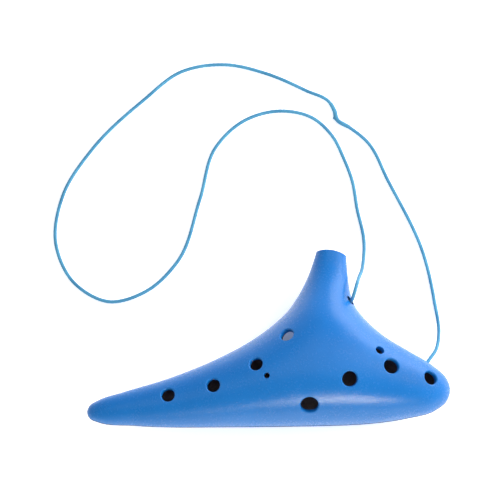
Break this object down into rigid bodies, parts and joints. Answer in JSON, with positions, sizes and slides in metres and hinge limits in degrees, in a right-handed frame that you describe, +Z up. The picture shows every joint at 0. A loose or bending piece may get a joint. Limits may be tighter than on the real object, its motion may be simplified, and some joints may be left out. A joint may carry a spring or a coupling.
{
  "type": "ocarina",
  "caption": "Transverse ocarina with a long tapered tail, a side mouthpiece, finger and thumb holes and a thin neck cord, moulded in blue plastic.",
  "frame": {"origin": "on the plane the belly rests on, under the middle of the body's length and width, cord left out", "axes": "+X from the tail to the blunt end, +Y towards the mouthpiece, +Z up through the finger holes"},
  "size_m": [0.1981, 0.1931, 0.0445],
  "materials": {
    "shell_plastic": "fine spark-eroded grain, satin",
    "block_plastic": "plain moulded, satin",
    "cord_braid": "thin round braid"
  },
  "bodies": {
    "root": {"upper_shell": "shell_plastic", "lower_shell": "shell_plastic", "windway_block": "block_plastic", "neck_side_cord": "cord_braid", "cord_splice": "cord_braid", "end_side_cord": "cord_braid", "neck_knot": "cord_braid", "end_knot": "cord_braid"}
  },
  "joints": []
}
